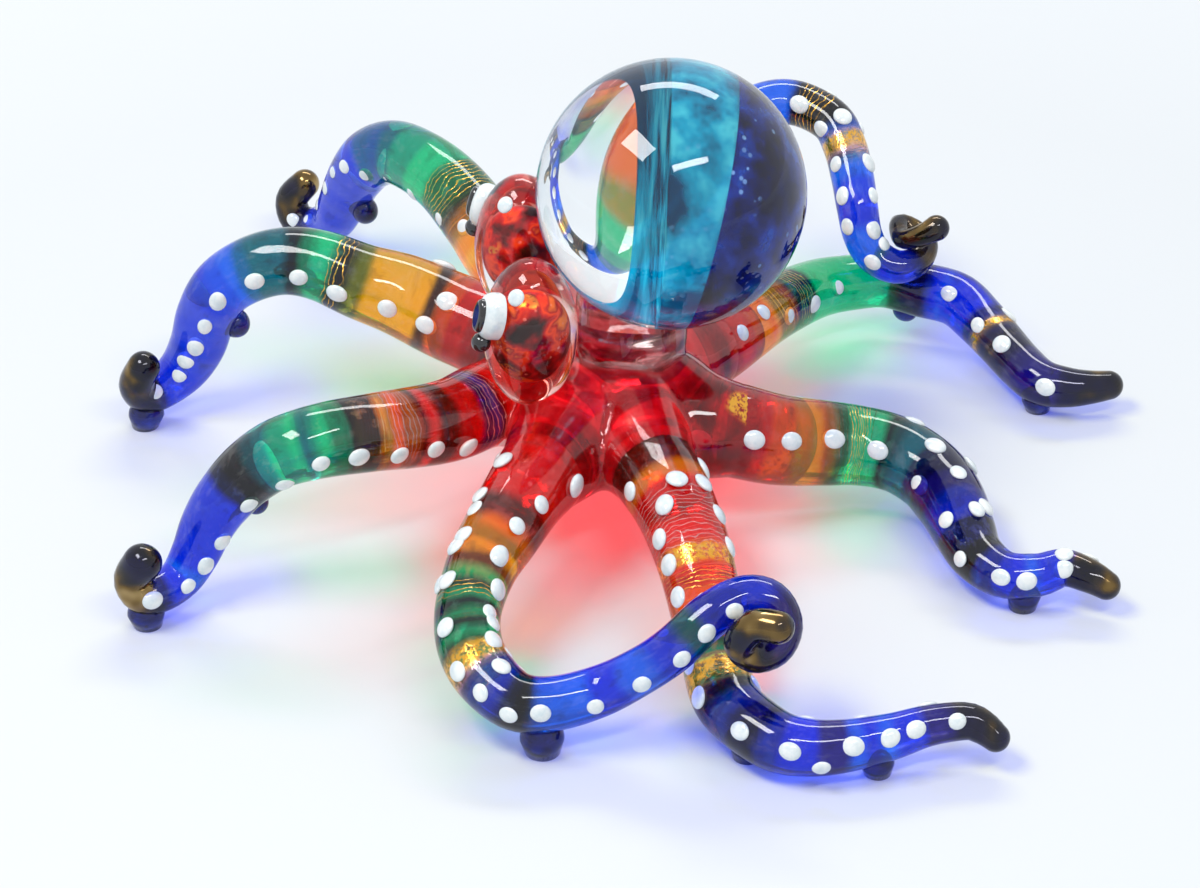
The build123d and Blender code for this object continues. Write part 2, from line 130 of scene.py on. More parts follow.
class Paint:  # the nodes of one material, or of the world
    def __init__(self, name, kind="materials"):
        self.owner = getattr(bpy.data, kind).new(name)
        self.owner.use_nodes = True
        self.tree = self.owner.node_tree
        self.tree.nodes.clear()

    def node(self, kind, settings=None, output=0, slots=None, **sockets):  # sockets by number or by name
        made = self.tree.nodes.new(kind)
        for key, value in (settings or {}).items():
            setattr(made, key, value)
        for slot, value in (slots or {}).items():
            plug(self.tree, made.inputs[slot], value)
        for key, value in sockets.items():
            wanted = key.replace("_", " ")
            found = next(s for s in made.inputs if s.name == wanted and s.enabled)
            plug(self.tree, found, value)
        return Wire(self.tree, made.outputs[output])

    def place(self):  # the surface's own place, in metres
        return self.node("ShaderNodeTexCoord", output="Object")

    def noise(self, scale, detail=3.0, roughness=0.55, vector=None):
        spot = vector if vector is not None else self.place()
        return self.node("ShaderNodeTexNoise", Vector=spot, Scale=scale, Detail=detail, Roughness=roughness)

    def cells(self, scale):
        return self.node("ShaderNodeTexVoronoi", Vector=self.place(), Scale=scale)

    def attribute(self, name):
        return self.node("ShaderNodeAttribute", {"attribute_name": name}, output="Fac")

    def ramp(self, factor, stops):
        made = self.tree.nodes.new("ShaderNodeValToRGB")
        marks = made.color_ramp.elements
        while len(marks) < len(stops):
            marks.new(0.5)
        for mark, (at, _) in zip(marks, stops):
            mark.position = at
        for mark, (_, colour) in zip(marks, stops):
            mark.color = (*colour, 1.0)
        plug(self.tree, made.inputs[0], factor)
        return Wire(self.tree, made.outputs[0])

    def blend(self, factor, first, second, mode="MIX"):
        first, second = (colour if isinstance(colour, Wire) else (*colour, 1.0) for colour in (first, second))
        return self.node("ShaderNodeMix", {"data_type": "RGBA", "blend_type": mode}, 2,
                         {0: factor, 6: first, 7: second})

    def bump(self, height, strength, distance):
        return self.node("ShaderNodeBump", Height=height, Strength=strength, Distance=distance)

    def mixed(self, factor, first, second):
        return self.node("ShaderNodeMixShader", slots={0: factor, 1: first, 2: second})

    def finish(self, surface, kind="ShaderNodeOutputMaterial"):
        out = self.tree.nodes.new(kind)
        plug(self.tree, out.inputs["Surface"], surface)
        return self.owner

    def glass(self, colour, shade, bump=None, metallic=0.0, roughness=0.02, clearness=1.0, bend=1.48,
              shine=0.5):  # coloured glass whose shadow has a colour too
        body = self.node("ShaderNodeBsdfPrincipled", Base_Color=colour, Metallic=metallic,
                         Roughness=roughness, IOR=bend, Specular_IOR_Level=shine,
                         Transmission_Weight=clearness)
        if bump is not None:
            plug(self.tree, body.socket.node.inputs["Normal"], bump)
        veil = self.node("ShaderNodeBsdfTransparent", Color=(*shade, 1.0))
        isShadow = self.node("ShaderNodeLightPath", output="Is Shadow Ray")
        return self.finish(self.mixed(isShadow, body, veil))


# Glass colours
glassHues = {
    "ruby": (0.50, 0.003, 0.012), "red": (0.86, 0.014, 0.012), "orange": (0.98, 0.17, 0.003),
    "amber": (1.0, 0.46, 0.010), "yellow": (1.0, 0.48, 0.03), "brown": (0.055, 0.012, 0.005),
    "olive": (0.16, 0.17, 0.008), "green": (0.0, 0.58, 0.24), "deepGreen": (0.0, 0.06, 0.02),
    "teal": (0.0, 0.15, 0.20), "sky": (0.008, 0.15, 0.90), "royal": (0.002, 0.03, 0.76),
    "indigo": (0.014, 0.006, 0.24), "lilac": (0.05, 0.09, 0.74), "navy": (0.003, 0.003, 0.055),
    "black": (0.003, 0.003, 0.008), "bronze": (0.20, 0.13, 0.05), "gold": (0.80, 0.42, 0.06),
    "pale": (0.85, 0.80, 0.78),
}
shadeHues = {"warm": (0.96, 0.40, 0.24), "green": (0.22, 0.84, 0.50), "blue": (0.20, 0.32, 0.96),
             "red": (0.96, 0.22, 0.24)}

# The eight arms, with the places along them as shares of their length
# route: to the side, to the back, height and thickness, as shares of the reach, the rise and the tube
# ends: where the red, warm, green and blue glass end; bands: where each colour starts
# threads: start, end and colour; dotPixels: dots in the photograph; dotRadius: in mm, at root and tip
# nubs: place, drop and size; feet: place and size
body = {"middle": Vector((1.3, -1.5, 14.5)) * mm, "radius": 13.0 * mm, "halfDepth": 6.8 * mm,
        "reach": 50.0 * mm, "rise": 25.0 * mm, "tube": 5.0 * mm}

arms = {
    "front_right": {
        "route": [
            (0.00, 0.00, 0.58, 1.10), (-0.16, -0.20, 0.63, 1.22), (-0.29, -0.40, 0.70, 1.20),
            (-0.33, -0.54, 0.79, 1.12), (-0.34, -0.65, 0.87, 1.02), (-0.37, -0.76, 0.93, 0.95),
            (-0.39, -0.86, 0.94, 0.90), (-0.39, -0.95, 0.90, 0.87), (-0.39, -1.03, 0.79, 0.83),
            (-0.39, -1.08, 0.62, 0.80), (-0.39, -1.11, 0.44, 0.76), (-0.385, -1.15, 0.29, 0.68),
            (-0.365, -1.205, 0.195, 0.58), (-0.33, -1.25, 0.19, 0.52), (-0.30, -1.27, 0.29, 0.48),
            (-0.28, -1.245, 0.42, 0.44)],
        "ends": (0.24, 0.445, 0.64, 0.93),
        "bands": [
            (0.00, "ruby"), (0.24, "red"), (0.28, "orange"), (0.32, "brown"), (0.345, "amber"),
            (0.37, "yellow"), (0.42, "amber"), (0.445, "olive"), (0.47, "black"), (0.50, "green"),
            (0.545, "black"), (0.57, "teal"), (0.64, "sky"), (0.68, "royal"), (0.71, "lilac"),
            (0.77, "royal"), (0.80, "lilac"), (0.83, "royal"), (0.90, "navy")],
        "threads": [(0.475, 0.50, "gold")],
        "dotPixels": [
            (448, 302), (427, 326), (387, 308), (338, 294), (298, 278), (255, 281), (218, 299), (205, 325),
            (196, 344), (186, 359), (180, 374), (155, 392)],
        "dotRadius": (1.75, 1.2),
        "nubs": [(0.74, 1.00, 0.95)],
        "feet": [(0.93, 1.10)],
    },
    "front_left": {
        "route": [
            (0.00, 0.00, 0.58, 1.10), (0.00, -0.17, 0.61, 1.18), (0.08, -0.31, 0.65, 1.13),
            (0.21, -0.41, 0.72, 1.07), (0.31, -0.51, 0.80, 1.02), (0.38, -0.60, 0.86, 0.97),
            (0.43, -0.69, 0.89, 0.94), (0.46, -0.77, 0.88, 0.91), (0.46, -0.84, 0.82, 0.87),
            (0.46, -0.91, 0.71, 0.82), (0.47, -0.97, 0.57, 0.75), (0.48, -1.01, 0.43, 0.68),
            (0.50, -1.04, 0.30, 0.61), (0.53, -1.08, 0.19, 0.54), (0.58, -1.13, 0.17, 0.50),
            (0.60, -1.17, 0.19, 0.48), (0.60, -1.19, 0.28, 0.46), (0.61, -1.16, 0.39, 0.49)],
        "ends": (0.24, 0.515, 0.70, 0.93),
        "bands": [
            (0.00, "ruby"), (0.20, "red"), (0.25, "brown"), (0.26, "lilac"), (0.275, "indigo"),
            (0.295, "red"), (0.34, "brown"), (0.38, "red"), (0.395, "brown"), (0.41, "orange"),
            (0.455, "yellow"), (0.465, "black"), (0.515, "green"), (0.55, "teal"), (0.57, "green"),
            (0.60, "teal"), (0.64, "black"), (0.70, "royal"), (0.84, "sky"), (0.86, "royal"),
            (0.90, "navy")],
        "threads": [(0.25, 0.29, "pale"), (0.41, 0.455, "pale")],
        "dotPixels": [
            (506, 438), (463, 444), (431, 445), (397, 453), (358, 456), (321, 464), (285, 484), (250, 503),
            (222, 541), (206, 565), (189, 586), (153, 600)],
        "dotRadius": (1.5, 1.2),
        "nubs": [(0.70, 0.95, 0.75)],
        "feet": [(0.925, 1.10)],
    },
    "curled_left": {
        "route": [
            (0.00, 0.00, 0.58, 1.10), (0.13, -0.07, 0.60, 1.20), (0.28, -0.14, 0.60, 1.18),
            (0.44, -0.21, 0.60, 1.08), (0.59, -0.27, 0.56, 0.98), (0.70, -0.32, 0.50, 0.89),
            (0.84, -0.35, 0.44, 0.83), (0.96, -0.34, 0.38, 0.79), (1.05, -0.30, 0.33, 0.76),
            (1.11, -0.23, 0.29, 0.71), (1.11, -0.14, 0.28, 0.65), (1.09, -0.03, 0.32, 0.61),
            (1.09, 0.06, 0.43, 0.58), (1.08, 0.14, 0.55, 0.57), (1.04, 0.23, 0.69, 0.55),
            (1.01, 0.31, 0.75, 0.53), (1.02, 0.37, 0.74, 0.51), (1.05, 0.40, 0.65, 0.48),
            (1.08, 0.38, 0.56, 0.45), (1.105, 0.33, 0.55, 0.42), (1.125, 0.295, 0.65, 0.40),
            (1.14, 0.33, 0.77, 0.40), (1.16, 0.38, 0.79, 0.40)],
        "ends": (0.20, 0.37, 0.50, 0.90),
        "bands": [
            (0.00, "ruby"), (0.12, "red"), (0.27, "brown"), (0.30, "amber"), (0.35, "brown"),
            (0.37, "green"), (0.385, "deepGreen"), (0.40, "green"), (0.41, "black"), (0.43, "green"),
            (0.438, "black"), (0.455, "green"), (0.465, "deepGreen"), (0.475, "gold"), (0.50, "royal"),
            (0.53, "black"), (0.56, "sky"), (0.62, "royal"), (0.66, "sky"), (0.70, "royal"),
            (0.735, "teal"), (0.76, "royal"), (0.84, "indigo"), (0.90, "navy")],
        "threads": [(0.39, 0.41, "gold")],
        "dotPixels": [
            (506, 465), (482, 496), (568, 484), (534, 507), (512, 529), (464, 536), (497, 557), (450, 583),
            (493, 591), (486, 615), (449, 629), (491, 643), (461, 672), (501, 668), (482, 693), (508, 715),
            (541, 714), (596, 708), (642, 684), (682, 660), (707, 633), (734, 611)],
        "dotRadius": (1.65, 0.95),
        "nubs": [],
        "feet": [(0.57, 1.30)],
    },
    "side_left": {
        "route": [
            (0.00, 0.00, 0.58, 1.10), (0.13, 0.03, 0.60, 1.18), (0.28, 0.08, 0.60, 1.15),
            (0.49, 0.15, 0.58, 1.03), (0.63, 0.19, 0.50, 0.96), (0.75, 0.22, 0.40, 0.90),
            (0.87, 0.24, 0.31, 0.85), (1.03, 0.26, 0.23, 0.81), (1.11, 0.30, 0.20, 0.78),
            (1.19, 0.38, 0.18, 0.75), (1.21, 0.46, 0.17, 0.69), (1.21, 0.55, 0.18, 0.63),
            (1.19, 0.65, 0.20, 0.56), (1.16, 0.74, 0.22, 0.49), (1.15, 0.83, 0.23, 0.45),
            (1.16, 0.87, 0.21, 0.41), (1.18, 0.90, 0.18, 0.35)],
        "ends": (0.24, 0.53, 0.60, 0.94),
        "bands": [
            (0.00, "ruby"), (0.12, "red"), (0.20, "brown"), (0.25, "amber"), (0.28, "red"), (0.38, "gold"),
            (0.41, "red"), (0.45, "orange"), (0.52, "gold"), (0.532, "deepGreen"), (0.55, "green"),
            (0.565, "gold"), (0.60, "navy"), (0.63, "royal"), (0.66, "navy"), (0.70, "royal"),
            (0.76, "indigo"), (0.80, "sky"), (0.82, "royal"), (0.84, "sky"), (0.86, "royal"),
            (0.90, "indigo"), (0.94, "navy")],
        "threads": [(0.29, 0.38, "pale"), (0.42, 0.45, "gold")],
        "dotPixels": [
            (640, 492), (678, 489), (701, 486), (669, 511), (719, 515), (663, 539), (729, 546), (672, 565),
            (680, 598), (692, 666), (701, 699), (741, 731), (789, 751), (822, 768), (854, 747), (890, 739),
            (915, 730), (957, 722)],
        "dotRadius": (1.7, 1.15),
        "nubs": [],
        "feet": [(0.66, 1.10), (0.84, 1.00)],
    },
    "back_left": {
        "route": [
            (0.00, 0.00, 0.58, 1.10), (0.06, 0.12, 0.58, 1.22), (0.11, 0.22, 0.56, 1.26),
            (0.11, 0.32, 0.52, 1.22), (0.10, 0.42, 0.46, 1.18), (0.07, 0.54, 0.40, 1.11),
            (0.06, 0.64, 0.36, 1.04), (0.09, 0.74, 0.34, 0.99), (0.15, 0.82, 0.30, 0.96),
            (0.24, 0.86, 0.27, 0.92), (0.35, 0.89, 0.23, 0.81), (0.44, 0.92, 0.20, 0.69),
            (0.51, 0.98, 0.18, 0.60), (0.52, 1.06, 0.19, 0.55), (0.50, 1.13, 0.21, 0.48),
            (0.53, 1.19, 0.20, 0.43), (0.55, 1.23, 0.17, 0.37)],
        "ends": (0.26, 0.375, 0.50, 0.94),
        "bands": [
            (0.00, "ruby"), (0.24, "red"), (0.26, "orange"), (0.30, "amber"), (0.345, "orange"),
            (0.375, "brown"), (0.385, "deepGreen"), (0.40, "green"), (0.48, "black"), (0.50, "teal"),
            (0.55, "navy"), (0.62, "indigo"), (0.66, "royal"), (0.72, "black"), (0.80, "royal"),
            (0.86, "sky"), (0.88, "royal"), (0.94, "navy")],
        "threads": [(0.40, 0.45, "gold")],
        "dotPixels": [
            (700, 440), (754, 440), (790, 441), (832, 439), (878, 451), (914, 421), (935, 446), (957, 477),
            (922, 485), (975, 514), (950, 523), (964, 559), (1000, 577), (1027, 581), (1064, 569),
            (1064, 554)],
        "dotRadius": (1.75, 1.2),
        "nubs": [(0.61, 1.00, 0.80)],
        "feet": [(0.86, 1.05)],
    },
    "back_right": {
        "route": [
            (0.00, 0.00, 0.58, 1.10), (-0.12, 0.10, 0.58, 1.14), (-0.25, 0.23, 0.56, 1.10),
            (-0.41, 0.34, 0.50, 0.97), (-0.59, 0.46, 0.44, 0.87), (-0.72, 0.56, 0.38, 0.82),
            (-0.78, 0.66, 0.35, 0.78), (-0.80, 0.76, 0.34, 0.75), (-0.77, 0.85, 0.32, 0.75),
            (-0.73, 0.95, 0.30, 0.75), (-0.65, 1.01, 0.26, 0.72), (-0.56, 1.06, 0.23, 0.68),
            (-0.47, 1.11, 0.20, 0.65), (-0.40, 1.16, 0.18, 0.62), (-0.38, 1.23, 0.17, 0.54),
            (-0.38, 1.29, 0.17, 0.46), (-0.39, 1.34, 0.17, 0.40)],
        "ends": (0.22, 0.36, 0.62, 0.93),
        "bands": [
            (0.00, "ruby"), (0.20, "red"), (0.24, "orange"), (0.30, "amber"), (0.34, "orange"),
            (0.36, "black"), (0.42, "green"), (0.60, "deepGreen"), (0.62, "navy"), (0.66, "royal"),
            (0.68, "sky"), (0.69, "royal"), (0.76, "navy"), (0.785, "gold"), (0.80, "navy"),
            (0.86, "indigo"), (0.93, "navy")],
        "threads": [(0.37, 0.41, "gold")],
        "dotPixels": [
            (731, 337), (754, 319), (779, 316), (805, 303), (834, 287), (949, 293), (980, 327),
            (1003, 346), (1045, 387)],
        "dotRadius": (1.5, 1.3),
        "nubs": [(0.63, 1.00, 0.85)],
        "feet": [(0.90, 1.00)],
    },
    "arched_right": {
        "route": [
            (0.00, 0.00, 0.58, 1.10), (-0.18, 0.02, 0.62, 1.12), (-0.34, 0.05, 0.70, 1.03),
            (-0.50, 0.11, 0.82, 0.91), (-0.73, 0.21, 0.99, 0.79), (-0.91, 0.31, 1.11, 0.72),
            (-1.01, 0.40, 1.19, 0.66), (-1.03, 0.50, 1.21, 0.63), (-0.97, 0.60, 1.17, 0.61),
            (-0.90, 0.64, 1.08, 0.60), (-0.82, 0.66, 0.97, 0.59), (-0.75, 0.67, 0.87, 0.57),
            (-0.71, 0.685, 0.73, 0.54), (-0.68, 0.72, 0.63, 0.51), (-0.66, 0.78, 0.59, 0.47),
            (-0.68, 0.835, 0.61, 0.41), (-0.73, 0.86, 0.66, 0.34), (-0.77, 0.83, 0.70, 0.30),
            (-0.77, 0.79, 0.735, 0.28), (-0.70, 0.79, 0.73, 0.27), (-0.67, 0.815, 0.76, 0.28),
            (-0.66, 0.85, 0.80, 0.31), (-0.665, 0.88, 0.83, 0.36)],
        "ends": (0.20, 0.34, 0.48, 0.86),
        "bands": [
            (0.00, "ruby"), (0.20, "orange"), (0.34, "green"), (0.44, "teal"), (0.48, "sky"),
            (0.55, "black"), (0.62, "sky"), (0.635, "gold"), (0.66, "sky"), (0.70, "royal"), (0.75, "sky"),
            (0.79, "teal"), (0.80, "royal"), (0.84, "black")],
        "threads": [(0.56, 0.60, "gold")],
        "dotPixels": [
            (800, 105), (842, 117), (822, 129), (836, 165), (868, 162), (843, 195), (873, 195), (847, 227),
            (874, 230), (873, 263)],
        "dotRadius": (1.35, 1.3),
        "nubs": [],
        "feet": [],
    },
    "side_right": {
        "route": [
            (0.00, 0.00, 0.58, 1.10), (-0.20, -0.09, 0.60, 1.16), (-0.44, -0.19, 0.64, 1.12),
            (-0.58, -0.29, 0.72, 1.03), (-0.71, -0.36, 0.82, 0.98), (-0.83, -0.44, 0.90, 0.93),
            (-0.94, -0.52, 0.92, 0.91), (-1.03, -0.60, 0.90, 0.89), (-1.09, -0.67, 0.80, 0.86),
            (-1.13, -0.72, 0.64, 0.79), (-1.17, -0.76, 0.44, 0.71), (-1.22, -0.80, 0.25, 0.63),
            (-1.25, -0.86, 0.17, 0.55), (-1.28, -0.91, 0.20, 0.49), (-1.29, -0.92, 0.31, 0.46),
            (-1.28, -0.88, 0.42, 0.42)],
        "ends": (0.26, 0.46, 0.69, 0.93),
        "bands": [
            (0.00, "ruby"), (0.25, "orange"), (0.34, "yellow"), (0.40, "orange"), (0.425, "brown"),
            (0.44, "deepGreen"), (0.50, "green"), (0.60, "teal"), (0.68, "royal"), (0.70, "lilac"),
            (0.80, "royal"), (0.83, "lilac"), (0.91, "navy")],
        "threads": [(0.445, 0.50, "gold")],
        "dotPixels": [
            (486, 247), (467, 228), (441, 219), (413, 193), (391, 174), (369, 168), (349, 165), (336, 172),
            (328, 188), (320, 205), (310, 220), (293, 220)],
        "dotRadius": (1.5, 1.1),
        "nubs": [(0.78, 1.00, 1.00)],
        "feet": [(0.91, 1.05)],
    },
}
tubeSkin = {"sides": 40, "step": 0.7 * mm, "wobble": 0.02, "nubRadius": 2.1 * mm, "footMiddle": 0.75,
            "root": 0.1, "hold": 0.6, "pointsPerSpan": 24, "endRings": (12, 84, 8)}


def smoothPath(route):
    points = np.array([[body["middle"].x + side * body["reach"], body["middle"].y + back * body["reach"],
                        rise * body["rise"], tube * body["tube"]] for side, back, rise, tube in route])
    spans = np.linalg.norm(np.diff(points[:, :3], axis=0), axis=1)
    marks = np.concatenate([[0], np.cumsum(spans)])
    rows, shares = [], []
    last = len(points) - 1
    for index in range(last):
        before, start, end, after = (points[min(max(index + step, 0), last)] for step in (-1, 0, 1, 2))
        for part in np.arange(0, 1, 1 / tubeSkin["pointsPerSpan"]):
            slopeStart, slopeEnd = (end - before) / 2, (after - start) / 2
            bend = 2 * (start - end) + slopeStart + slopeEnd
            sag = 3 * (end - start) - 2 * slopeStart - slopeEnd
            rows.append(bend * part**3 + sag * part**2 + slopeStart * part + start)
            shares.append(marks[index] + part * spans[index])
    rows.append(points[-1])
    shares.append(marks[-1])
    return {"rows": np.array(rows), "shares": np.array(shares) / marks[-1], "length": marks[-1]}


def station(path, share):
    row = [np.interp(share, path["shares"], path["rows"][:, column]) for column in range(4)]
    return Vector(row[:3]), float(row[3])


def heading(path, share):
    small = 0.004
    return (station(path, min(share + small, 1))[0] - station(path, max(share - small, 0))[0]).normalized()


def topOf(way):
    return (Vector((0, 0, 1)) - way * way.z).normalized()


def addMesh(name, vertices, faces, values=None):
    mesh = bpy.data.meshes.new(name)
    mesh.from_pydata([tuple(v) for v in vertices], [], faces)
    mesh.validate()
    for key, numbers in (values or {}).items():
        mesh.attributes.new(key, "FLOAT", "POINT").data.foreach_set("value", numbers)
    mesh.polygons.foreach_set("use_smooth", [True] * len(mesh.polygons))
    thing = bpy.data.objects.new(name, mesh)
    bpy.context.scene.collection.objects.link(thing)
    return thing


def turnsOf(sides):
    return [2 * math.pi * side / sides for side in range(sides)]


def ringFaces(rings, sides, start=0, capped=False):  # the faces between rings of points
    faces = []
    for ring in range(rings - 1):
        low, high = start + ring * sides, start + (ring + 1) * sides
        for side in range(sides):
            following = (side + 1) % sides
            faces.append((low + side, low + following, high + following, high + side))
    if capped:
        top = start + (rings - 1) * sides
        faces += [tuple(reversed(range(start, start + sides))), tuple(range(top, top + sides))]
    return faces


def tubeRings(path, startShare, endShare, seed, swell=lambda share: 0.0):
    chance = random.Random(seed)
    waves = [(chance.uniform(1, 7), chance.uniform(0, 6.3), chance.randint(1, 3)) for _ in range(5)]
    count = max(6, int((endShare - startShare) * path["length"] / tubeSkin["step"]))
    shares = list(np.linspace(startShare, endShare, count))
    rings = []
    across = None
    for share in shares:
        middle, radius = station(path, share)
        way = heading(path, share)
        across = topOf(way) if across is None else (across - way * across.dot(way)).normalized()
        rings.append((middle, way, across, radius + swell(share), share))
    closing = []
    middle, way, across, radius, share = rings[-1]
    for turn in np.linspace(*tubeSkin["endRings"]):  # a round end
        forward, width = math.sin(math.radians(turn)), math.cos(math.radians(turn))
        closing.append((middle + way * radius * forward, way, across, radius * width, share))
    rings += closing
    vertices, along, up, aside = [], [], [], []
    for middle, way, across, radius, share in rings:
        other = way.cross(across)
        for turn in turnsOf(tubeSkin["sides"]):
            ripple = sum(math.sin(share * rate * 6.3 + phase + lobe * turn) for rate, phase, lobe in waves)
            reach = radius * (1 + tubeSkin["wobble"] * ripple / 2)
            outward = across * math.cos(turn) + other * math.sin(turn)
            vertices.append(middle + outward * reach)
            along.append(share)
            up.append(outward.dot(topOf(way)))
            aside.append(outward.dot(topOf(way).cross(way)))
    return vertices, {"along": along, "up": up, "aside": aside}, rings


def addTube(name, path, startShare, endShare, seed):
    vertices, values, rings = tubeRings(path, startShare, endShare, seed)
    sides = tubeSkin["sides"]
    faces = ringFaces(len(rings), sides)
    end, endWay, _, endRadius, _ = rings[-1]
    vertices += [rings[0][0], end + endWay * endRadius * 0.1]
    values["along"] += [rings[0][4], rings[-1][4]]
    values["up"] += [0.0, 0.0]
    values["aside"] += [0.0, 0.0]
    first, last = len(vertices) - 2, len(vertices) - 1
    lastRing = (len(rings) - 1) * sides
    for side in range(sides):
        following = (side + 1) % sides
        faces.append((first, following, side))
        faces.append((last, lastRing + side, lastRing + following))
    return addMesh(name, vertices, faces, values)


paths = {name: smoothPath(arm["route"]) for name, arm in arms.items()}


def bandStops(bands):
    stops = []
    soft = 0.006
    for number, (at, hue) in enumerate(bands):
        if number:
            stops.append((at - soft, glassHues[bands[number - 1][1]]))
        stops.append((at + (soft if number else 0), glassHues[hue]))
    return stops


def between(along, low, high):
    soft = 0.004
    return along.above(low, soft) * (1 - along.above(high, soft))


def bandColour(paint, bands, along):
    half = len(bands) // 2
    near = paint.ramp(along, bandStops(bands[:half + 1]))
    far = paint.ramp(along, bandStops(bands[half:]))
    return paint.blend(along.above(bands[half][0] + 0.007, 0.001), near, far)


# Streaks are drawn out along the arm, and the glass below its middle is darkened with painted shade
def streakedWithUnderShade(paint, colour, along, up, aside):
    drawn = paint.node("ShaderNodeCombineXYZ", X=along * 16.0, Y=up, Z=aside)
    streak = paint.noise(2.6, 4.0, 0.62, drawn)
    dark = streak.above(0.62, 0.10) * 0.38
    light = (1 - streak).above(0.60, 0.14) * 0.10
    colour = paint.blend(dark, colour, (0.10, 0.05, 0.10), "MULTIPLY")
    colour = paint.blend(light, colour, (1.0, 0.96, 0.92), "SCREEN")
    # painted shade: the lower side of each arm is darkened as if in shadow
    paintedUnderShade = (0.0 - up).above(0.45, 0.9) * 0.30
    return paint.blend(paintedUnderShade, colour, (0.12, 0.09, 0.16), "MULTIPLY")


def armGlass(name, arm, part, shade):
    paint = Paint(name + "_" + part + "_glass")
    wander = paint.noise(130.0, 3.0) - 0.5
    along = paint.attribute("along") + wander * 0.022
    up, aside = paint.attribute("up"), paint.attribute("aside")
    colour = streakedWithUnderShade(paint, bandColour(paint, arm["bands"], along), along, up, aside)
    foil = 0.0
    for number, (at, hue) in enumerate(arm["bands"]):
        if hue == "gold":
            foil = foil + between(along, at, arm["bands"][number + 1][0])
    for start, end, hue in arm["threads"]:
        turn = along * 900.0 + aside * 3.0 + wander * 26.0
        line = turn.sine().above(0.86, 0.16) * between(along, start, end)
        colour = paint.blend(line, colour, glassHues[hue])
        if hue == "gold":
            foil = foil + line
    lustre = along.above(arm["ends"][3] - 0.004, 0.03)
    sheen = paint.noise(170.0, 2.0, 0.5)
    lustreColour = paint.ramp(sheen, [(0.40, (0.004, 0.004, 0.05)), (0.50, (0.012, 0.01, 0.016)),
                                      (0.62, glassHues["bronze"]), (0.72, (0.42, 0.30, 0.14))])
    colour = paint.blend(lustre, colour, lustreColour)
    flecks = paint.noise(1500.0, 3.0, 0.7).above(0.48, 0.12)
    metal = (foil * flecks + lustre * sheen.above(0.56, 0.08) + lustre * 0.15).held()
    bump = paint.bump(paint.noise(210.0, 2.0, 0.5) + foil * flecks * 0.6, 0.16, 0.25 * mm)
    return paint.glass(colour, shade, bump, metallic=metal, roughness=0.02 + metal * 0.12, clearness=0.78)


def addArm(name, arm, seed):
    path = paths[name]
    start = tubeSkin["root"] + tubeSkin["hold"] * (arm["ends"][0] - tubeSkin["root"])
    tube = addTube(name + "_arm", path, start, 1.0, seed)
    for part in ("red", "warm", "green", "blue"):
        tube.data.materials.append(armGlass(name, arm, part, shadeHues[part]))
    along = np.empty(len(tube.data.vertices))
    tube.data.attributes["along"].data.foreach_get("value", along)
    for face in tube.data.polygons:
        face.material_index = sum(along[face.vertices[0]] > edge for edge in arm["ends"][:-1])
    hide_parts(*[name + "_arm_" + section for section in ("warm", "green", "blue", "tip")])
    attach(tube, "root")


for number, (name, arm) in enumerate(arms.items()):
    addArm(name, arm, 20 + number)
print("arms ready")


# Red body and the stubs of the arms, melted into each other
hubLook = {"start": 0.04, "lap": 0.02, "web": 2.2 * mm, "sink": 0.35 * mm, "voxel": 0.45 * mm, "smooth": 14}


def remeshed(thing, voxel, smooth):
    remesh = thing.modifiers.new("remesh", "REMESH")
    remesh.mode = "VOXEL"
    remesh.voxel_size = voxel
    remesh.use_smooth_shade = True
    soften = thing.modifiers.new("soften", "SMOOTH")
    soften.factor = 0.5
    soften.iterations = smooth
    depsgraph = bpy.context.evaluated_depsgraph_get()
    mesh = bpy.data.meshes.new_from_object(thing.evaluated_get(depsgraph))
    thing.modifiers.clear()
    thing.data = mesh
    return thing


def ballPoints(middle, halfWide, halfTall, rings=24, sides=48):
    vertices = []
    for ring in range(rings + 1):
        rise = math.pi * ring / rings - math.pi / 2
        wide, lift = math.cos(rise) * halfWide, math.sin(rise) * halfTall
        for turn in turnsOf(sides):
            vertices.append(middle + Vector((wide * math.cos(turn), wide * math.sin(turn), lift)))
    return vertices, ringFaces(rings + 1, sides)


def addHub():
    vertices, faces = ballPoints(body["middle"], body["radius"], body["halfDepth"])
    for number, (name, arm) in enumerate(arms.items()):
        end = arm["ends"][0] + hubLook["lap"]

        def swell(share, end=end):
            part = min(max((share - tubeSkin["root"]) / (end - tubeSkin["root"]), 0), 1)
            return hubLook["web"] * (1 - part) ** 2 - hubLook["sink"] * part

        ringVertices, _, rings = tubeRings(paths[name], hubLook["start"], end, 20 + number, swell)
        faces += ringFaces(len(rings), tubeSkin["sides"], len(vertices), capped=True)
        vertices += ringVertices
    hub = addMesh("body_hub_glass", vertices, faces)
    return remeshed(hub, hubLook["voxel"], hubLook["smooth"])


def hubGlass():
    paint = Paint("ruby_body_glass")
    streaks = paint.noise(130.0, 4.0, 0.6)
    colour = paint.ramp(streaks, [(0.34, (0.14, 0.001, 0.003)), (0.45, (0.50, 0.003, 0.010)),
                                  (0.56, (0.78, 0.010, 0.02)), (0.66, (0.95, 0.06, 0.07)),
                                  (0.74, (0.98, 0.30, 0.20))])
    gold = paint.noise(75.0, 2.0, 0.5).above(0.64, 0.04) * paint.noise(1500.0, 3.0, 0.7).above(0.45, 0.1)
    colour = paint.blend(gold, colour, glassHues["gold"])
    bump = paint.bump(paint.noise(170.0, 2.0, 0.5), 0.22, 0.35 * mm)
    return paint.glass(colour, shadeHues["red"], bump, metallic=gold * 0.9, clearness=0.74)


hub = addHub()
hub.data.materials.clear()
hub.data.materials.append(hubGlass())
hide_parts("body_hub")
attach(hub, "root")
print("body ready")


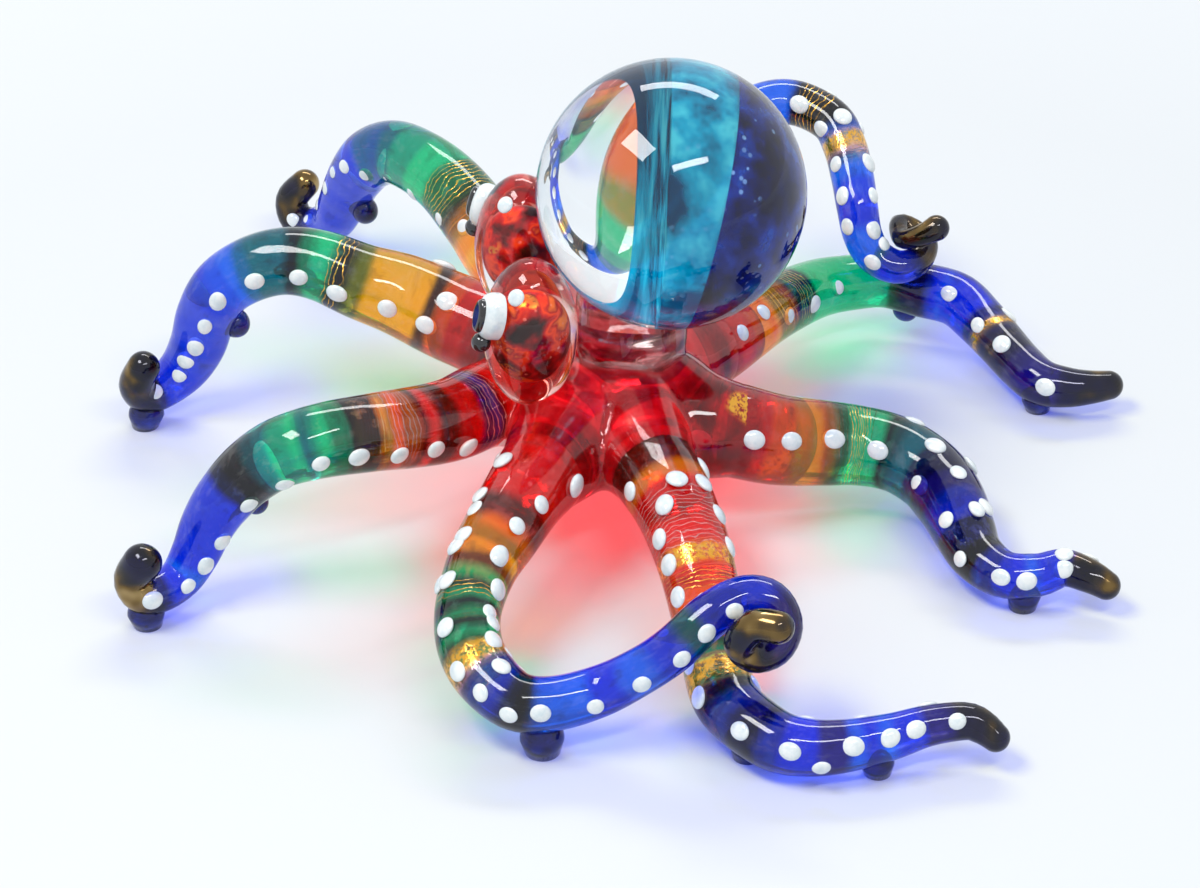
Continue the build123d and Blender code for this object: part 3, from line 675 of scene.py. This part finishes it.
# Neck collar
collarLook = {"radius": 7.2 * mm, "back": 2.4 * mm, "foot": 19.0 * mm, "head": 33.2 * mm, "steps": 24,
              "bulge": 0.9 * mm, "flare": 0.45 * mm, "flareAt": 0.1, "flareSpread": 0.09}


def turned(name, profile, middle, sides=64):
    vertices = []
    for radius, height in profile:
        for turn in turnsOf(sides):
            vertices.append(middle + Vector((radius * math.cos(turn), radius * math.sin(turn), height)))
    return addMesh(name, vertices, ringFaces(len(profile), sides, capped=True))


def addCollar():
    look = collarLook
    middle = Vector((body["middle"].x, body["middle"].y + look["back"], 0))
    tall = look["head"] - look["foot"]
    profile = []
    for step in range(look["steps"] + 1):
        part = step / look["steps"]
        drawnIn = look["bulge"] * (1 - math.sin(math.pi * part) ** 0.5)
        flare = look["flare"] * math.exp(-((part - look["flareAt"]) / look["flareSpread"]) ** 2)
        profile.append((look["radius"] - drawnIn + flare, look["foot"] + tall * part))
    collar = turned("neck_collar_glass", profile, middle)
    paint = Paint("smoky_collar_glass")
    flat = paint.node("ShaderNodeVectorMath", {"operation": "MULTIPLY"}, 0,
                      {0: paint.place(), 1: (1.0, 1.0, 2.6)})
    colour = paint.ramp(paint.noise(170.0, 4.0, 0.6, flat), [
        (0.36, (0.06, 0.025, 0.02)), (0.45, (0.40, 0.30, 0.28)), (0.52, (0.78, 0.74, 0.74)),
        (0.60, (0.90, 0.88, 0.88)), (0.68, (0.60, 0.05, 0.03))])
    collar.data.materials.append(paint.glass(colour, (0.9, 0.85, 0.85)))
    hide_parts("neck_collar")
    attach(collar, "root")


addCollar()


# Head ball
ballLook = {"radius": 17.0 * mm, "back": 7.3 * mm, "height": 44.7 * mm, "shell": 0.5 * mm,
            "clearEdge": -1.0 * mm, "clearLean": 3.0, "cobaltEdge": 4.8 * mm, "cobaltLean": 13.0,
            "coreClearness": 0.6}


def cutBall(middle, radius, cuts):  # each cut takes away what its plane faces
    made = bmesh.new()
    bmesh.ops.create_icosphere(made, subdivisions=6, radius=radius)
    bmesh.ops.translate(made, vec=middle, verts=made.verts)
    for point, normal in cuts:
        whole = made.verts[:] + made.edges[:] + made.faces[:]
        cut = bmesh.ops.bisect_plane(made, geom=whole, plane_co=point, plane_no=normal, clear_outer=True,
                                     dist=1e-7)
        edges = [part for part in cut["geom_cut"] if isinstance(part, bmesh.types.BMEdge)]
        bmesh.ops.holes_fill(made, edges=edges, sides=0)
    return made


def ballPlace(back=0.0):
    return Vector((body["middle"].x, body["middle"].y + ballLook["back"] + back, ballLook["height"]))


def addBallPart(name, radius, cuts, material):
    made = cutBall(ballPlace(), radius, cuts)
    bmesh.ops.recalc_face_normals(made, faces=made.faces)
    mesh = bpy.data.meshes.new(name)
    made.to_mesh(mesh)
    made.free()
    mesh.polygons.foreach_set("use_smooth", [len(face.vertices) <= 8 for face in mesh.polygons])
    thing = bpy.data.objects.new(name, mesh)
    bpy.context.scene.collection.objects.link(thing)
    mesh.materials.append(material)
    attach(thing, "root")
    return thing


def ballEdge(back, lean):
    turn = math.radians(lean)
    return ballPlace(back), Vector((0, math.cos(turn), -math.sin(turn)))


def clearGlass():
    paint = Paint("clear_ball_glass")
    colour = paint.ramp(paint.noise(60.0, 2.0), [(0.3, (0.95, 0.975, 0.99)), (0.7, (1.0, 1.0, 1.0))])
    return paint.glass(colour, (0.80, 0.88, 0.95), paint.bump(paint.noise(95.0, 1.0), 0.05, 0.3 * mm))


def tintedCore(name, stops, scale, shade, bubbles):  # coloured glass inside the clear ball
    paint = Paint(name)
    patches = paint.noise(scale, 4.0, 0.6)
    cluster = paint.noise(110.0, 2.0).above(0.50, 0.10)
    specks = (1 - paint.cells(620.0)).above(0.80, 0.06) * cluster * bubbles
    colour = paint.blend(specks, paint.ramp(patches, stops), (0.35, 0.62, 0.95))
    return paint.glass(colour, shade, clearness=ballLook["coreClearness"], bend=1.0, shine=0.0)


clearPoint, clearNormal = ballEdge(ballLook["clearEdge"], ballLook["clearLean"])
cobaltPoint, cobaltNormal = ballEdge(ballLook["cobaltEdge"], ballLook["cobaltLean"])
ballClear = addBallPart("head_ball_clear_glass", ballLook["radius"], [], clearGlass())
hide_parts("head_ball_clear")
inner = ballLook["radius"] - ballLook["shell"]
turquoiseStops = [(0.38, (0.0, 0.06, 0.16)), (0.45, (0.0, 0.26, 0.44)), (0.52, (0.0, 0.50, 0.74)),
                  (0.60, (0.10, 0.82, 0.96))]
turquoiseGlass = tintedCore("turquoise_glass_core", turquoiseStops, 115.0, (0.25, 0.66, 0.85), 0.3)
turquoise = addBallPart("head_ball_turquoise_core", inner,
                        [(clearPoint, -clearNormal), (cobaltPoint, cobaltNormal)], turquoiseGlass)
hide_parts("head_ball_turquoise")
cobaltStops = [(0.38, (0.001, 0.001, 0.015)), (0.47, (0.002, 0.006, 0.10)), (0.56, (0.003, 0.03, 0.33)),
               (0.68, (0.008, 0.12, 0.60))]
cobaltGlass = tintedCore("cobalt_glass_core", cobaltStops, 170.0, (0.15, 0.2, 0.7), 0.9)
cobalt = addBallPart("head_ball_cobalt_core", inner, [(cobaltPoint, -cobaltNormal)], cobaltGlass)
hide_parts("head_ball_cobalt")
print("head ready")


# Eye lobes
lobeLook = {"radius": 6.0 * mm, "halfLength": 10.2 * mm, "lean": 1.0, "turnIn": 1.0, "core": 0.54,
            "dotPixels": {"left": (516, 298), "right": (505, 205)}, "dotRadius": 1.15 * mm,
            "dotSunk": 0.1 * mm}


def nodeMiddle(name):
    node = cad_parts[name]
    corners = [node.matrix_world @ Vector(corner) for corner in node.bound_box]
    return sum(corners, Vector()) / len(corners)


def lobePoints(name, side, share, rings=32, sides=48):
    look = lobeLook
    middle = nodeMiddle("eye_lobe_" + name)
    lean, turnIn = math.radians(look["lean"]), math.radians(look["turnIn"])
    axis = Vector((-side * math.sin(turnIn), math.sin(lean), math.cos(lean))).normalized()
    across = axis.orthogonal().normalized()
    other = axis.cross(across)
    vertices = []
    for ring in range(rings + 1):
        turn = math.pi * ring / rings
        rise, width = -math.cos(turn) * look["halfLength"] * share, math.sin(turn) * look["radius"] * share
        for angle in turnsOf(sides):
            spot = (across * math.cos(angle) + other * math.sin(angle)) * width
            vertices.append(middle + axis * rise + spot)
    return vertices, ringFaces(rings + 1, sides)


def lobeShell(name):
    paint = Paint("lobe_shell_glass_" + name)
    colour = paint.ramp(paint.noise(140.0), [(0.42, (0.80, 0.14, 0.10)), (0.50, (0.93, 0.62, 0.56)),
                                             (0.62, (0.99, 0.94, 0.92))])
    return paint.glass(colour, (0.95, 0.55, 0.5), paint.bump(paint.noise(150.0), 0.08, 0.3 * mm))


def lobeSwirl(name):
    paint = Paint("lobe_swirl_" + name)
    warp = paint.node("ShaderNodeTexNoise", output="Color", Vector=paint.place(), Scale=120.0)
    push = paint.node("ShaderNodeVectorMath", {"operation": "SCALE"}, Vector=warp, Scale=0.005)
    bent = paint.node("ShaderNodeVectorMath", {"operation": "ADD"}, 0, {0: paint.place(), 1: push})
    swirl = paint.noise(230.0, 3.0, 0.55, bent)
    colour = paint.ramp(swirl, [(0.37, (0.015, 0.002, 0.002)), (0.44, (0.16, 0.002, 0.003)),
                                (0.50, (0.48, 0.004, 0.006)), (0.56, (0.80, 0.07, 0.004)),
                                (0.61, (0.40, 0.006, 0.006)), (0.67, (0.86, 0.24, 0.02))])
    bubbles = (1 - paint.cells(900.0)).above(0.82, 0.06) * paint.noise(160.0).above(0.54, 0.06)
    colour = paint.blend(bubbles * 0.7, colour, (0.90, 0.50, 0.40))
    gold = paint.noise(190.0, 2.0).above(0.66, 0.04) * paint.noise(1600.0, 2.0).above(0.45, 0.1)
    colour = paint.blend(gold, colour, glassHues["gold"])
    surface = paint.node("ShaderNodeBsdfPrincipled", Base_Color=colour, Metallic=gold, Roughness=0.3,
                         Specular_IOR_Level=0.1, Normal=paint.bump(swirl, 0.3, 0.4 * mm))
    return paint.finish(surface)


def addLobe(name, side):
    for piece, share, material in (("eye_lobe_glass_", 1.0, lobeShell(name)),
                                   ("eye_lobe_swirl_", lobeLook["core"], lobeSwirl(name))):
        lobe = addMesh(piece + name, *lobePoints(name, side, share))
        lobe.data.materials.append(material)
        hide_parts("eye_lobe_" + name)
        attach(lobe, "root")


for name, side in (("left", 1), ("right", -1)):
    addLobe(name, side)
print("eye lobes ready")


# Enamel dots, dark nubs and eyes
dotLook = {"sunk": 0.12 * mm, "wide": 0.86, "tall": 0.42, "deep": 0.2, "least": 0.88, "most": 1.12,
           "lap": 0.02, "from": 0.12, "away": 0.2}
nubLook = {"wide": 0.9, "deep": 0.8, "footDeep": 0.98, "rings": 9, "sides": 24}


def enamel(name, light, shadow, roughness=0.12):
    paint = Paint(name)
    cloud = paint.noise(700.0, 3.0, 0.6)
    colour = paint.ramp(cloud, [(0.3, shadow), (0.6, light)])
    bump = paint.bump(paint.noise(500.0, 2.0), 0.1, 0.1 * mm)
    surface = paint.node("ShaderNodeBsdfPrincipled", Base_Color=colour, Roughness=roughness, Normal=bump,
                         Coat_Weight=0.6, Coat_Roughness=0.04)
    return paint.finish(surface)


whiteEnamel = enamel("white_enamel", (0.86, 0.90, 0.90), (0.66, 0.76, 0.80))
blackGlass = enamel("black_glass", (0.012, 0.012, 0.016), (0.004, 0.004, 0.006), 0.05)
nubPaint = Paint("dark_nub_glass")
nubStops = [(0.4, (0.004, 0.004, 0.05)), (0.7, (0.02, 0.04, 0.35))]
nubGlass = nubPaint.glass(nubPaint.ramp(nubPaint.noise(500.0), nubStops), (0.3, 0.35, 0.75))


def blobPoints(middle, outward, along, wide, longer, tall, sunk, chance, rings=7, sides=20):
    across = outward.cross(along).normalized()
    tilt, pull = chance.uniform(0, 6.3), chance.uniform(0.02, 0.12)
    vertices = []
    for ring in range(rings + 1):
        rise = math.pi / 2 * ring / rings
        for turn in turnsOf(sides):
            shape = 1 + pull * math.cos(turn - tilt) + pull * 0.5 * math.cos(2 * (turn - tilt))
            flat = along * math.cos(turn) * longer + across * math.sin(turn) * wide
            vertices.append(middle + flat * shape * math.cos(rise) + outward * (math.sin(rise) * tall))
    base = len(vertices)
    for turn in turnsOf(sides):
        flat = along * math.cos(turn) * longer + across * math.sin(turn) * wide
        vertices.append(middle + flat * 0.8 - outward * sunk)
    faces = ringFaces(rings + 1, sides)
    for side in range(sides):
        following = (side + 1) % sides
        faces.append((base + side, base + following, following, side))
    faces.append(tuple(base + side for side in reversed(range(sides))))
    return vertices, faces


def gather(name, blobs):
    vertices, faces = [], []
    for blobVertices, blobFaces in blobs:
        start = len(vertices)
        vertices += blobVertices
        faces += [tuple(start + corner for corner in face) for face in blobFaces]
    return addMesh(name, vertices, faces)


def tubeHit(path, across, down):  # where the photograph's pixel meets an arm, and the way out of the glass
    eye, way = pixelRay(photo, across, down)
    centres = path["rows"][:, :3] - np.array(eye)
    depth = centres @ np.array(way)
    miss = np.linalg.norm(centres - depth[:, None] * np.array(way), axis=1) / path["rows"][:, 3]
    miss[path["shares"] < dotLook["from"]] = np.inf  # no dots on the stub
    best = int(np.argmin(miss))
    middle, radius = Vector(path["rows"][best][:3]), float(path["rows"][best][3])
    share = float(path["shares"][best])
    nearest = eye + way * depth[best]
    aside = nearest - middle
    if aside.length < radius:
        spot = nearest - way * math.sqrt(radius**2 - aside.length**2)
    else:
        spot = middle + aside.normalized() * radius
    along = heading(path, share)
    outward = spot - middle
    outward = (outward - along * outward.dot(along)).normalized()
    return middle + outward * radius + along * (spot - middle).dot(along), outward, along, share


def dotBlob(place, outward, along, size, chance):
    return blobPoints(place, outward, along, size * dotLook["wide"], size, size * dotLook["tall"],
                      size * dotLook["deep"], chance)


def addDots(name, arm, seed):
    chance = random.Random(seed)
    path = paths[name]
    look = dotLook
    blobs, turns = [], []
    first, last = arm["dotRadius"]
    for across, down in arm["dotPixels"]:
        spot, outward, along, share = tubeHit(path, across, down)
        size = (first + (last - first) * share) * mm * chance.uniform(look["least"], look["most"])
        turns.append((share, outward))
        blobs.append(dotBlob(spot - outward * look["sunk"], outward, along, size, chance))
    for share, outward in turns[::2]:  # the row on the arm's other side
        middle, radius = station(path, share + look["lap"])
        along = heading(path, share + look["lap"])
        top = topOf(along)
        mirrored = outward - 2 * outward.dot(top.cross(along)) * top.cross(along)
        if mirrored.x > outward.x - look["away"]:  # it would be among the dots that show
            continue
        size = (first + (last - first) * share) * mm * chance.uniform(look["least"], look["most"])
        blobs.append(dotBlob(middle + mirrored * (radius - look["sunk"]), mirrored, along, size, chance))
    dots = gather(name + "_enamel_dots", blobs)
    dots.data.materials.append(whiteEnamel)
    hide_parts(name + "_dots")
    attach(dots, "root")


def addNubs(name, arm, seed):
    chance = random.Random(seed)
    path = paths[name]
    look = nubLook
    fine = look["rings"], look["sides"]
    blobs = []
    for share, drop, size in arm["nubs"]:
        middle, radius = station(path, share)
        along = heading(path, share)
        outward = -topOf(along)
        wide = tubeSkin["nubRadius"] * size
        blobs.append(blobPoints(middle + outward * radius * drop, outward, along, wide * look["wide"], wide,
                                wide, wide * look["deep"], chance, *fine))
    for share, size in arm["feet"]:
        middle, _ = station(path, share)
        wide = tubeSkin["nubRadius"] * size
        spot = Vector((middle.x, middle.y, wide * tubeSkin["footMiddle"]))
        blobs.append(blobPoints(spot, Vector((0, 0, 1)), Vector((1, 0, 0)), wide, wide, wide,
                                spot.z * look["footDeep"], chance, *fine))
    if blobs:
        nubs = gather(name + "_glass_nubs", blobs)
        nubs.data.materials.append(nubGlass)
        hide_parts(name + "_nubs")
        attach(nubs, "root")


def addLobeDot(name):
    look = lobeLook
    squash = look["radius"] / look["halfLength"]
    middle = nodeMiddle("eye_lobe_" + name)
    eye, way = pixelRay(photo, *look["dotPixels"][name])
    start = (eye - middle) * Vector((1, 1, squash))
    ahead = (way * Vector((1, 1, squash))).normalized()
    nearest = -start.dot(ahead)
    miss = min((start + ahead * nearest).length, look["radius"] * 0.98)
    spot = start + ahead * (nearest - math.sqrt(look["radius"]**2 - miss**2))
    spot = spot.normalized() * look["radius"]
    outward = Vector((spot.x, spot.y, spot.z * squash)).normalized()
    spot.z /= squash
    size = look["dotRadius"]
    along = outward.orthogonal().normalized()
    blob = blobPoints(middle + spot - outward * look["dotSunk"], outward, along, size * 0.9, size, size * 0.4,
                      size * 0.2, random.Random(90))
    dot = gather("eye_lobe_dot_" + name, [blob])
    dot.data.materials.append(whiteEnamel)
    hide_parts("eye_lobe_" + name)
    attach(dot, "root")


for name in ("left", "right"):
    addLobeDot(name)
for number, (name, arm) in enumerate(arms.items()):
    addDots(name, arm, 40 + number)
    addNubs(name, arm, 60 + number)
for part, material in (("eye_white_", whiteEnamel), ("pupil_", blackGlass), ("cheek_bead_", blackGlass)):
    for name in ("left", "right"):
        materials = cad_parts[part + name].data.materials
        materials.clear()
        materials.append(material)
print("dots, nubs and eyes ready")


# Floor, light and background
stageLook = {"floor": 6.0, "floorColour": (0.70, 0.73, 0.76), "background": (0.95, 0.98, 1.0), "fill": 0.42,
             "glow": ((0.12, 0.02), (0.85, 0.66))}  # metres from the middle, and how much the floor glows


def seenDirectly(paint):  # 1 for what the camera sees, also in a reflection or through glass
    seen, glossy, through = (paint.node("ShaderNodeLightPath", output="Is " + ray + " Ray")
                             for ray in ("Camera", "Glossy", "Transmission"))
    seen = seen.sum("MAXIMUM", seen, glossy)
    return seen.sum("MAXIMUM", seen, through)


def addFloor():
    size = stageLook["floor"]
    corners = [(-size, -size, 0), (size, -size, 0), (size, size, 0), (-size, size, 0)]
    floor = addMesh("floor", corners, [(0, 1, 2, 3)])
    paint = Paint("pale_table")
    away = paint.node("ShaderNodeVectorMath", {"operation": "LENGTH"}, output="Value", Vector=paint.place())
    stops = [(reach, [shade * level for shade in stageLook["background"]])
             for reach, level in stageLook["glow"]]
    surface = paint.node("ShaderNodeBsdfPrincipled", Base_Color=(*stageLook["floorColour"], 1.0),
                         Roughness=0.55, Specular_IOR_Level=0.2, Emission_Color=paint.ramp(away, stops),
                         Emission_Strength=seenDirectly(paint))
    floor.data.materials.append(paint.finish(surface))


def addSoftbox(name, azimuth, elevation, distance, wide, tall, power):
    lamp = bpy.data.lights.new(name, "AREA")
    lamp.shape = "RECTANGLE"
    lamp.size, lamp.size_y, lamp.energy = wide, tall, power
    thing = bpy.data.objects.new(name, lamp)
    away = lookingFrom(azimuth, elevation)
    thing.location = away * distance
    thing.rotation_euler = (-away).to_track_quat("-Z", "Y").to_euler()
    bpy.context.scene.collection.objects.link(thing)


def addWorld():
    paint = Paint("white studio", "worlds")
    colour = (*stageLook["background"], 1.0)
    fill = paint.node("ShaderNodeBackground", Color=colour, Strength=stageLook["fill"])
    back = paint.node("ShaderNodeBackground", Color=colour)
    surface = paint.mixed(seenDirectly(paint), fill, back)
    bpy.context.scene.world = paint.finish(surface, "ShaderNodeOutputWorld")


addFloor()
addWorld()
addSoftbox("key", azimuth=30, elevation=62, distance=0.7, wide=0.30, tall=0.17, power=2.6)
addSoftbox("back", azimuth=262, elevation=50, distance=0.7, wide=0.50, tall=0.10, power=1.6)
addSoftbox("strip", azimuth=115, elevation=55, distance=0.6, wide=0.30, tall=0.05, power=0.9)
print("stage ready")
